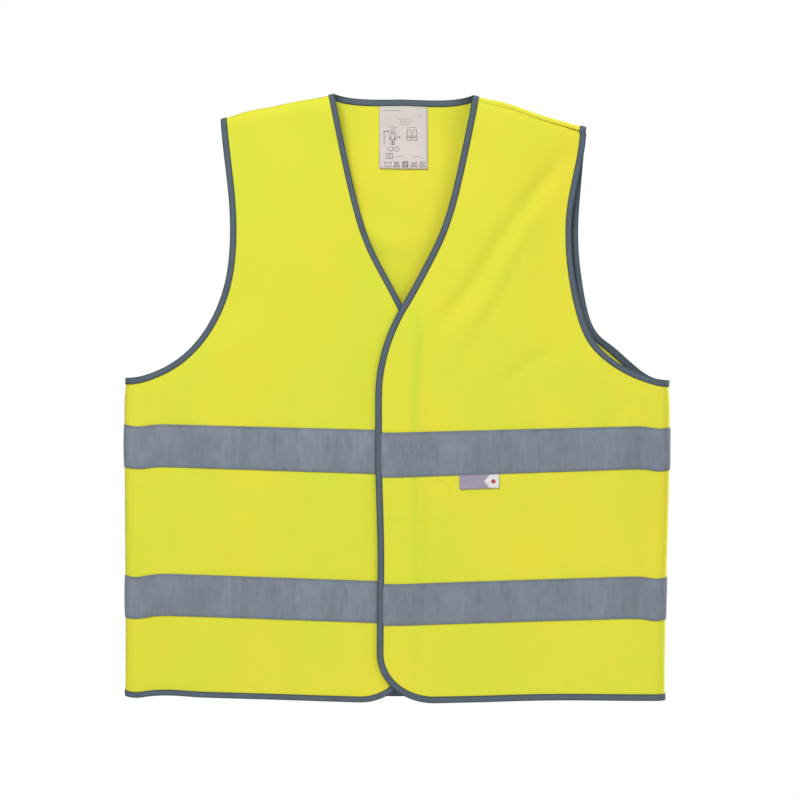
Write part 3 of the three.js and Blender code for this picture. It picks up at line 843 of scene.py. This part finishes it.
edge_lines, arm_lines = {}, {}
for name, side in SIDES.items():
    edge, arm = front_lines(side)
    edge_lines[name] = to_side(edge, side)
    arm_lines[name] = to_side(arm, side)
    made, length = bound_edge(f"{name}_front_edge", [(edge_lines[name], name, side)], EDGE_WIDTH[side])
    crosses_fold(made)
    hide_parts(f"{name}_flap_edge_binding", f"{name}_neck_binding", f"{name}_side_hem_binding")
    back_arm = to_side(left_arm if side == LEFT else right_arm, side)
    made, length = bound_edge(f"{name}_armhole_edge", [(arm_lines[name][::-1], name, side),
                                                       (back_arm, "back", -side)], ARM_WIDTH)
    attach(made, "root")
    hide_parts(f"{name}_armhole_binding")

# ---- Stitches -----------------------------------------------------------------------------------

def taken_off(made):
    """The points and faces of a small shape, which is then put away."""
    points = np.array([v.co for v in made.data.vertices])
    faces = [tuple(f.vertices) for f in made.data.polygons]
    bpy.data.objects.remove(made)
    return points, faces


def thread_stitch():
    """One stitch, 2.4 mm long, lying along x: a small ball drawn out and flattened underneath."""
    bpy.ops.mesh.primitive_uv_sphere_add(segments=6, ring_count=4, radius=0.5, location=(0, 0, 0))
    ball = bpy.context.active_object
    bpy.ops.object.mode_set(mode="EDIT")
    bpy.ops.mesh.select_all(action="SELECT")
    bpy.ops.transform.rotate(value=math.pi / 2, orient_axis="Y", center_override=(0, 0, 0))
    bpy.ops.transform.resize(value=(2.4, 0.42, 0.36))
    bpy.ops.object.mode_set(mode="OBJECT")
    return taken_off(ball)


STITCH, STITCH_FACES = thread_stitch()
STITCH_STEP = 3.1


def stitch_row(line, height, panel):
    """Stitches end to end along a line, at a height over the cloth."""
    line = spaced(line, STITCH_STEP)
    centres = (line[1:] + line[:-1]) / 2
    ways = np.diff(line, axis=0)
    ways /= np.hypot(*ways.T)[:, None]
    sides = np.stack([-ways[:, 1], ways[:, 0]], axis=1)
    flat = (centres[:, None] + ways[:, None] * STITCH[None, :, :1] + sides[:, None] * STITCH[None, :, 1:2])
    heights = height + np.sign(height or 1) * STITCH[:, 2]
    heights = np.broadcast_to(heights, flat.shape[:2])
    flat = flat.reshape(-1, 2)
    return spots(flat, heights.ravel(), panel), flat


def stitching(name, rows, thread):
    """Many rows of stitches as one piece; rows are (line, height, panel)."""
    places, flats, faces, done = [], [], [], 0
    for row in rows:
        row_places, row_flat = stitch_row(*row)
        count = len(row_places) // len(STITCH)
        for i in range(count):
            faces += [tuple(done + i * len(STITCH) + v for v in f) for f in STITCH_FACES]
        done += len(row_places)
        places.append(row_places)
        flats.append(row_flat)
    made = piece(name, np.vstack(places), faces, np.vstack(flats), thread)
    outwards(made)
    return made


TAPE_TOP = TRIM + 0.32
INSIDE = -CLOTH / 2 - 0.12


def edge_rows(line, panel, inward, width=BINDING):
    row = offset(spaced(line, 3), inward * (width - 1.3))
    return [(row, 1.22, panel), (row, -1.22, panel)]


def tape_rows(start, end, panel):
    rows = []
    for level in TAPE_LEVELS.values():
        for z in (level[0] + TAPE_ROW, level[1] - TAPE_ROW):
            line = np.array([(start, z), (end, z)])
            rows += [(line, TAPE_TOP, panel), (line, INSIDE, panel)]
    return rows


thread_work = {
    "back": edge_rows(neck_line, "back", 1, EDGE_WIDTH[LEFT]) + edge_rows(hem_line, "back", 1)
    + tape_rows(-seam_x[RIGHT] + 2, seam_x[LEFT] - 2, "back"),
    "left_armhole": [], "right_armhole": [],
}
for name, side in SIDES.items():
    back_arm = to_side(left_arm if side == LEFT else right_arm, side)
    thread_work[f"{name}_armhole"] += edge_rows(arm_lines[name][::-1], name, side, ARM_WIDTH)
    thread_work[f"{name}_armhole"] += edge_rows(back_arm, "back", -side, ARM_WIDTH)
    thread_work[name] = edge_rows(edge_lines[name], name, side, EDGE_WIDTH[side])
    thread_work[name] += tape_rows(side * (CENTRE + BINDING + 1), side * (seam_x[side] - 2), name)

for name, rows in thread_work.items():
    made = stitching(f"{name}_stitching", rows, THREAD)
    if name in SIDES:
        crosses_fold(made)
    else:
        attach(made, "root")

# ---- Side and shoulder seams --------------------------------------------------------------------

def seam_roll(name, points, inwards, thick, wide):
    """The two turned-in edges of a seam, overlocked: a flat roll with a scalloped free edge."""
    run = run_along(points)
    section = [(0, 0.5), (0.25, 0.62), (0.7, 0.55), (0.94, 0.4), (1, 0), (0.94, -0.4), (0.7, -0.55),
               (0.25, -0.62), (0, -0.5)]
    rings, uvs = [], []
    for i, (point, way) in enumerate(zip(points, inwards)):
        scallop = 1 + 0.05 * math.sin(run[i] * 2.1)
        sway = 0.35 * math.sin(run[i] / 23)
        ring = [point + way * (u * wide * scallop) + np.array((0, 1, 0)) * (v * thick + sway * u)
                for u, v in section]
        rings.append(ring)
        uvs.append([(run[i], u * wide) for u, v in section])
    return strip_mesh(name, np.array(rings), np.array(uvs), YELLOW)


def overlock(name, points, inwards, thick, wide):
    """Slanted threads wrapped over the free edge of the roll."""
    places, faces, flats = [], [], []
    run = run_along(points)
    along = (points[-1] - points[0]) / np.linalg.norm(points[-1] - points[0])
    at = np.arange(1.5, run[-1] - 1.5, 3.0)
    for distance in at:
        point = points[0] + along * distance
        way = inwards[0]
        sway = 0.35 * math.sin(distance / 23)
        for face in (1, -1):
            for lean in (0.42, -0.42):
                lifted = face * (thick * 0.6 + 0.05) + sway * 0.6
                centre = point + way * wide * 0.62 + np.array((0, lifted, 0))
                length = way * math.cos(lean) + along * math.sin(lean)
                across = along * math.cos(lean) - way * math.sin(lean)
                start = len(places) * len(STITCH)
                stretched = STITCH * (1.7, 0.7, 0.7)
                places.append(centre + stretched[:, :1] * length + stretched[:, 1:2] * across
                              + stretched[:, 2:] * np.array((0, 1.0, 0)))
                flats.append(np.stack([distance + stretched[:, 0], stretched[:, 1]], axis=1))
                faces += [tuple(start + v for v in f) for f in STITCH_FACES]
    made = piece(name, np.vstack(places), faces, np.vstack(flats), YELLOW_THREAD)
    outwards(made)
    return made


def settle(points):
    return lay(np.array(points, float), "back")


for name, side in SIDES.items():
    low, high = node_box(f"{name}_side_seam")
    outer = side * (HALF_WIDTH - CLOTH - 0.3)
    heights = np.arange(low[2], high[2], 4.0)
    line = settle([(outer, MIDDLE[side], z) for z in heights])
    ways = np.tile((-side, 0, 0), (len(line), 1)).astype(float)
    roll = seam_roll(f"{name}_side_seam_allowance", line, ways, 1.2, 6.0)
    wraps = overlock(f"{name}_side_overlock", line, ways, 1.2, 6.0)
    slope_way = np.array([side * math.cos(SLOPE), 0, -math.sin(SLOPE)])
    down = np.array([-side * math.sin(SLOPE), 0, -math.cos(SLOPE)])
    start = np.array([side * NECK_HALF, MIDDLE[side], 0]) + down * (CLOTH + 0.3)
    along = np.arange(12.0, math.hypot(SHOULDER_HALF - NECK_HALF, SHOULDER_Z) - 11, 4.0)
    line = settle([start + slope_way * distance for distance in along])
    ways = np.tile(down, (len(line), 1))
    top_roll = seam_roll(f"{name}_shoulder_seam_allowance", line, ways, 1.2, 6.0)
    top_wraps = overlock(f"{name}_shoulder_overlock", line, ways, 1.2, 6.0)
    for made in (roll, wraps, top_roll, top_wraps):
        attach(made, "root")
    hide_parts(f"{name}_side_seam")
    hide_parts(f"{name}_shoulder_seam")

# ---- Closure ------------------------------------------------------------------------------------

def flat_slab(name, low, high, base, thick, panel, material_used, radius=2.0):
    """A thin pad with rounded corners, lying on the cloth of a panel."""
    corners = []
    for cx, cz, start in ((high[0] - radius, high[1] - radius, 0),
                          (low[0] + radius, high[1] - radius, 90),
                          (low[0] + radius, low[1] + radius, 180),
                          (high[0] - radius, low[1] + radius, 270)):
        for angle in range(start, start + 91, 30):
            turn = math.radians(angle)
            corners.append((cx + radius * math.cos(turn), cz + radius * math.sin(turn)))
    outline = spaced(np.array(corners + corners[:1]), 2.5)[:-1]
    columns, rows = np.arange(low[0], high[0], 4.0), np.arange(low[1], high[1], 4.0)
    grid = np.array([(x, z) for x in columns for z in rows])
    flat, faces = filled(outline, grid, 1.5)
    made = piece(name, spots(flat, base + np.sign(base) * thick / 2, panel), faces, flat, material_used)
    thicken(made, thick)
    outwards(made)
    return made


def box_row(low, high, inset):
    return np.array([(low[0] + inset, low[1] + inset), (high[0] - inset, low[1] + inset),
                     (high[0] - inset, high[1] - inset), (low[0] + inset, high[1] - inset),
                     (low[0] + inset, low[1] + inset)])


def small_hook():
    """One moulded hook: a thin post that bends over, pointing up in z."""
    bpy.ops.mesh.primitive_cylinder_add(vertices=5, radius=0.13, depth=0.5, location=(0, 0, 0.25))
    hook = bpy.context.active_object
    bpy.ops.object.mode_set(mode="EDIT")
    bpy.ops.mesh.select_all(action="DESELECT")
    bpy.ops.object.mode_set(mode="OBJECT")
    top = max(hook.data.polygons, key=lambda f: f.center.z)
    top.select = True
    bpy.ops.object.mode_set(mode="EDIT")
    bpy.ops.mesh.select_mode(type="FACE")
    for move in ((0.08, 0, 0.16), (0.2, 0, 0.08), (0.16, 0, -0.1)):
        bpy.ops.mesh.extrude_region_move(TRANSFORM_OT_translate={"value": move})
        bpy.ops.transform.resize(value=(0.85, 0.85, 0.85))
    bpy.ops.object.mode_set(mode="OBJECT")
    return taken_off(hook)


def small_loop():
    """One loop of the pile: half a thin ring standing on its ends."""
    bpy.ops.mesh.primitive_torus_add(major_radius=0.42, minor_radius=0.09, major_segments=10,
                                     minor_segments=4, rotation=(math.pi / 2, 0, 0), location=(0, 0, 0))
    bpy.ops.object.transform_apply(location=True, rotation=True, scale=True)
    ring = bpy.context.active_object
    bpy.ops.object.mode_set(mode="EDIT")
    bpy.ops.mesh.select_all(action="SELECT")
    bpy.ops.mesh.bisect(plane_co=(0, 0, -0.12), plane_no=(0, 0, 1), clear_inner=True, use_fill=True)
    bpy.ops.object.mode_set(mode="OBJECT")
    return taken_off(ring)


def field(name, shape, low, high, step, base, panel, material_used, seed):
    """Copies of a small shape all over a pad, a little uneven."""
    points, shape_faces = shape
    rng = np.random.default_rng(seed)
    places, flats, faces = [], [], []
    xs, zs = np.arange(low[0] + 3, high[0] - 2.5, step), np.arange(low[1] + 3, high[1] - 2.5, step)
    for row, z in enumerate(zs):
        for x in xs:
            turn = rng.uniform(-0.5, 0.5) + (math.pi if row % 2 else 0)
            cos, sin = math.cos(turn), math.sin(turn)
            flat = np.stack([x + points[:, 0] * cos - points[:, 1] * sin,
                             z + points[:, 0] * sin + points[:, 1] * cos], axis=1)
            start = len(places) * len(points)
            places.append(np.column_stack([flat, points[:, 2] * rng.uniform(0.8, 1.1)]))
            faces += [tuple(start + v for v in f) for f in shape_faces]
    everything = np.vstack(places)
    heights = base + np.sign(base) * everything[:, 2]
    made = piece(name, spots(everything[:, :2], heights, panel), faces, everything[:, :2], material_used)
    outwards(made)
    return made


hook_low, hook_high = front_box("hook_strip")
loop_low, loop_high = front_box("loop_pad")
hook_pad = flat_slab("hook_strip_backing", hook_low, hook_high, -0.68, 0.55, "left", HOOKS)
hook_field = field("hook_strip_hooks", small_hook(), hook_low, hook_high, 2.2, -0.93, "left", HOOKS, 3)
loop_base = flat_slab("loop_pad_backing", loop_low, loop_high, 0.68, 0.55, "right", HOOKS)
loop_field = field("loop_pad_pile", small_loop(), loop_low, loop_high, 1.7, 0.98, "right", HOOKS, 5)
hook_thread = stitching("hook_strip_stitching", [
    (box_row(hook_low, hook_high, 1.3), CLOTH / 2 + 0.1, "left"),
    (box_row(hook_low, hook_high, 1.3), -1.0, "left")], YELLOW_THREAD)
loop_thread = stitching("loop_pad_stitching", [
    (box_row(loop_low, loop_high, 1.3), 1.0, "right"),
    (box_row(loop_low, loop_high, 1.3), INSIDE, "right")], YELLOW_THREAD)
for made in (hook_pad, hook_field, hook_thread):
    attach(made, "left_flap")
for made in (loop_base, loop_field, loop_thread):
    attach(made, "right_flap")
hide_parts("hook_strip")
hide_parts("loop_pad")

# ---- Care label ---------------------------------------------------------------------------------

label_low, label_high = front_box("care_label")
LABEL_TUCK = 3.6  # how much of it is caught under the neck binding


def bends_at_top(made, top, length, panel):
    """A small sheet sewn in along its top edge: cuts its mesh into rows over a short length below the top
    and bakes its transform.
    """
    cut = bmesh.new()
    cut.from_mesh(made.data)
    highest = max(corner.co.z for corner in cut.verts)
    for row in range(1, 12):
        bmesh.ops.bisect_plane(cut, geom=cut.verts[:] + cut.edges[:] + cut.faces[:],
                               plane_co=(0, 0, highest - row * length * MM / 8), plane_no=(0, 0, 1))
    cut.to_mesh(made.data)
    cut.free()
    start, end = spots([top, (top[0], top[1] - length)], 0, panel) * MM
    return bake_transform(made)


def label_height(flat):
    """The label hangs from the neck binding and lifts off the cloth a little towards its foot."""
    down = np.clip((label_high[1] - flat[:, 1]) / (label_high[1] - label_low[1]), 0, 1)
    return -(0.75 + 1.1 * down ** 2 + 0.25 * np.sin(flat[:, 0] / 9 + 1) * down)


def label_sheet():
    columns = np.linspace(label_low[0], label_high[0], 20)
    rows = np.linspace(label_low[1], label_high[1] + LABEL_TUCK, 30)
    x, z = np.meshgrid(columns, rows, indexing="ij")
    flat = np.stack([x.ravel(), z.ravel()], axis=1)
    faces = grid_faces(len(columns), len(rows))
    made = piece("care_label_satin", spots(flat, label_height(flat), "back"), faces, flat, LABEL)
    thicken(made, 0.25)
    return made


def stroke(points, width):
    """A printed line of even width through points, as flat quads."""
    points = np.array(points, float)
    left, right = offset(points, width / 2), offset(points, -width / 2)
    flat = np.empty((2 * len(points), 2))
    flat[0::2], flat[1::2] = left, right
    faces = [(2 * i, 2 * i + 1, 2 * i + 3, 2 * i + 2) for i in range(len(points) - 1)]
    return flat, faces


def ring_points(cx, cz, rx, rz, start=0, end=360, steps=20):
    turn = np.radians(np.linspace(start, end, steps))
    return np.stack([cx + rx * np.cos(turn), cz + rz * np.sin(turn)], axis=1)


def frame_points(cx, cz, half_x, half_z):
    return [(cx - half_x, cz - half_z), (cx + half_x, cz - half_z), (cx + half_x, cz + half_z),
            (cx - half_x, cz + half_z), (cx - half_x, cz - half_z)]


def crossed(cx, cz, half):
    return [[(cx - half, cz - half), (cx + half, cz + half)],
            [(cx - half, cz + half), (cx + half, cz - half)]]


def label_drawings():
    """Generic care and size symbols, and plain rows of dashes where a label carries lines of print."""
    lines = []
    foot = label_low[1] + 5.2
    tub, bleach, dryer, iron, cleaner = -17.9, -7.9, 2.1, 12.1, 22
    lines.append([(tub - 4, foot + 2.6), (tub - 3, foot - 2.6),
                  (tub + 3, foot - 2.6), (tub + 4, foot + 2.6)])
    lines.append(ring_points(tub, foot + 2.3, 3.6, 0.9, 180, 360))
    lines.append([(bleach - 3.6, foot - 2.8), (bleach, foot + 3.2), (bleach + 3.6, foot - 2.8),
                  (bleach - 3.6, foot - 2.8)])
    lines.append(frame_points(dryer, foot, 3.1, 3.1))
    lines.append(ring_points(dryer, foot, 2.6, 2.6))
    lines.append([(iron - 4, foot - 2.2), (iron + 4, foot - 2.2), (iron + 3.2, foot + 1.8),
                  (iron - 1, foot + 1.8), (iron - 4, foot - 2.2)])
    lines.append(ring_points(cleaner, foot, 3.1, 3.1))
    for x in (bleach, dryer, iron, cleaner):
        lines += crossed(x, foot, 3.1)
    # a plain standing figure with size arrows, and a vest outline, by height over the label's foot
    low = label_low[1]
    lines.append(ring_points(-12.4, low + 44, 1.8, 2.0))
    figure = [(3, 41), (3.8, 34), (2.4, 34), (2, 38), (1.8, 27.8), (0.4, 27.8), (0, 35)]
    lines.append([(-12.4 + x, low + z) for x, z in [(-x, z) for x, z in figure[::-1]] + figure[:1][::-1]])
    lines.append([(-12.4 + x, low + z) for x, z in [(-3, 41)] + figure])
    for x0, x1, z in ((-23.4, -16.8, 43.2), (-8, -3.7, 36.6)):
        lines.append([(x0, low + z), (x1, low + z)])
        lines.append([(x1 - 1.4, low + z + 1.1), (x1, low + z), (x1 - 1.4, low + z - 1.1)])
    lines.append([(-22.4, low + 44), (-22.4, low + 28)])
    vest = [(-5.5, 45.4), (-2.5, 45.4), (0, 42), (2.5, 45.4), (5.5, 45.4), (4.8, 42), (6, 40), (6, 33.4),
            (-6, 33.4), (-6, 40), (-4.8, 42), (-5.5, 45.4)]
    lines.append([(9.7 + x, low + z) for x, z in vest])
    lines += [[(3.7, low + z), (15.7, low + z)] for z in (38.2, 36.4)]
    lines.append([(9.7, low + 42), (9.7, low + 33.4)])
    for x in (-14.6, -7.9):
        lines.append(ring_points(x, low + 22.8, 2.8, 2.5))
    lines.append(frame_points(-16.3, low + 14.6, 3.9, 3.0))
    lines.append(ring_points(-16.3, low + 14.6, 1.8, 1.8))
    dashes = [(-22.7, -3.7, 67.2), (16.5, 21.5, 61.5), (-6.2, 8.8, 57.7), (-3.7, 7.7, 54.8), (-4, 8, 52),
              (-17.9, -6.6, 48.2), (4.4, 14.6, 48.2), (-9.9, 0.4, 14.2), (11, 20.5, 14.2)]
    for start, end, z in dashes:
        for x in np.arange(start, end, 1.7):
            lines.append([(x, low + z), (min(x + 1.1, end), low + z)])
    return lines


def label_print():
    flats, faces, done = [], [], 0
    for line in label_drawings():
        line = np.array(line, float)
        steps = np.hypot(*np.diff(line, axis=0).T)
        fine = [line[:1]]
        for start, end, length in zip(line, line[1:], steps):
            count = max(1, int(length / 2))
            fine.append(start + (end - start) * (np.arange(1, count + 1) / count)[:, None])
        flat, quads = stroke(np.vstack(fine), 0.5)
        faces += [tuple(v + done for v in q) for q in quads]
        done += len(flat)
        flats.append(flat)
    flat = np.vstack(flats)
    made = piece("care_label_symbols", spots(flat, label_height(flat) - 0.17, "back"), faces, flat, PRINT)
    thicken(made, 0.06)
    return made


care_label = label_sheet()
care_print = label_print()
label_rows = [(np.array([(label_low[0] + 1, label_high[1] + 1.4),
                         (label_high[0] - 1, label_high[1] + 1.4)]),
               -1.05, "back")]
care_thread = stitching("care_label_stitching", label_rows, YELLOW_THREAD)
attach(care_print, "care_label")
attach(care_thread, "root")
bends_at_top(care_label, (0, label_high[1]), 3, "back")
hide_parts("care_label")

# ---- Tab under the tape -------------------------------------------------------------------------

tab_low, tab_high = front_box("tape_tab")


def tab_height(flat):
    down = np.clip((tab_high[1] - flat[:, 1]) / (tab_high[1] - tab_low[1]), 0, 1)
    return 0.85 + 0.5 * down ** 2 + 0.12 * np.sin(flat[:, 0] / 5) * down


def tab_patch(name, outline, lift, material_used, thick):
    outline = spaced(np.array(outline + outline[:1], float), 1.6)[:-1]
    low, high = outline.min(0), outline.max(0)
    grid = np.array([(x, z) for x in np.arange(low[0], high[0], 2.0)
                     for z in np.arange(low[1], high[1], 2.0)])
    flat, faces = filled(outline, grid, 0.8)
    made = piece(name, spots(flat, tab_height(flat) + lift, "left"), faces, flat, material_used)
    thicken(made, thick)
    outwards(made)
    return made


point_x, foot_x, mid_z = tab_high[0] - 17.6, tab_high[0] - 11.5, (tab_low[1] + tab_high[1]) / 2
tab = tab_patch("tape_tab_satin", [(tab_low[0], tab_low[1]), (tab_high[0], tab_low[1]),
                                   (tab_high[0], tab_high[1] + 1), (tab_low[0], tab_high[1] + 1)],
                0, LILAC, 0.25)
tab_white = tab_patch("tape_tab_pennant", [(point_x, mid_z), (foot_x, tab_low[1] + 0.3),
                                           (tab_high[0] - 0.3, tab_low[1] + 0.3),
                                           (tab_high[0] - 0.3, tab_high[1] - 0.3),
                                           (foot_x, tab_high[1] - 0.3)], 0.18, TAB_WHITE, 0.1)
dot_x = tab_high[0] - 7
tab_dot = tab_patch("tape_tab_dot", [tuple(p) for p in ring_points(dot_x, mid_z, 2.6, 2.6, 0, 345, 24)],
                    0.28, TAB_RED, 0.08)
for made in (tab, tab_white, tab_dot):
    bends_at_top(made, ((tab_low[0] + tab_high[0]) / 2, tab_high[1]), 6, "left")
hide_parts("tape_tab")

# ---- Floor, light and camera --------------------------------------------------------------------

bpy.ops.mesh.primitive_cylinder_add(vertices=96, radius=1.15, depth=0.02, location=(0, 0, -1.01))
floor = bpy.context.active_object
floor.name = "studio_floor"
bpy.ops.object.transform_apply(location=True, rotation=True, scale=True)
floor_paint = bpy.data.materials.new("pale_floor")
floor_paint.use_nodes = True
floor_paint.node_tree.nodes["Principled BSDF"].inputs["Base Color"].default_value = (0.86, 0.86, 0.86, 1)
floor_paint.node_tree.nodes["Principled BSDF"].inputs["Roughness"].default_value = 0.8
floor.data.materials.append(floor_paint)


def soft_light(name, place, aim, size, power):
    light = bpy.data.lights.new(name, "AREA")
    light.shape = "DISK"
    light.size = size
    light.energy = power
    made = bpy.data.objects.new(name, light)
    bpy.context.scene.collection.objects.link(made)
    made.location = place
    way = np.array(aim, float) - np.array(place, float)
    yaw = math.atan2(way[1], way[0])
    pitch = math.atan2(way[2], math.hypot(way[0], way[1]))
    made.rotation_euler = (math.pi / 2 + pitch, 0, yaw - math.pi / 2)


soft_light("key_light", (-0.7, -1.85, 1.35), (0, 0, -0.1), 1.5, 58)
soft_light("fill_light", (1.8, -1.7, 0.8), (0, 0, -0.3), 1.2, 13)
soft_light("back_light", (2.3, 1.5, 1.1), (0, 0, -0.3), 0.9, 105)

world = bpy.data.worlds.new("studio")
bpy.context.scene.world = world
world.use_nodes = True
nodes, links = world.node_tree.nodes, world.node_tree.links
ambient = nodes["Background"]
ambient.inputs["Color"].default_value = (1, 1, 1, 1)
ambient.inputs["Strength"].default_value = 0.57
seen = nodes.new("ShaderNodeBackground")
seen.inputs["Color"].default_value = (1, 1, 1, 1)
seen.inputs["Strength"].default_value = 1.0
path = nodes.new("ShaderNodeLightPath")
either = nodes.new("ShaderNodeMixShader")
links.new(path.outputs["Is Camera Ray"], either.inputs["Fac"])
links.new(ambient.outputs[0], either.inputs[1])
links.new(seen.outputs[0], either.inputs[2])
links.new(either.outputs[0], nodes["World Output"].inputs["Surface"])

scene = bpy.context.scene
scene.view_settings.view_transform = "Standard"
camera_data = bpy.data.cameras.new("camera")
camera_data.lens = 135
camera_data.sensor_width = 36
camera = bpy.data.objects.new("camera", camera_data)
scene.collection.objects.link(camera)
camera.location = (0.00345, -3.462, -0.352)
camera.rotation_euler = (math.pi / 2, 0, 0)
scene.camera = camera
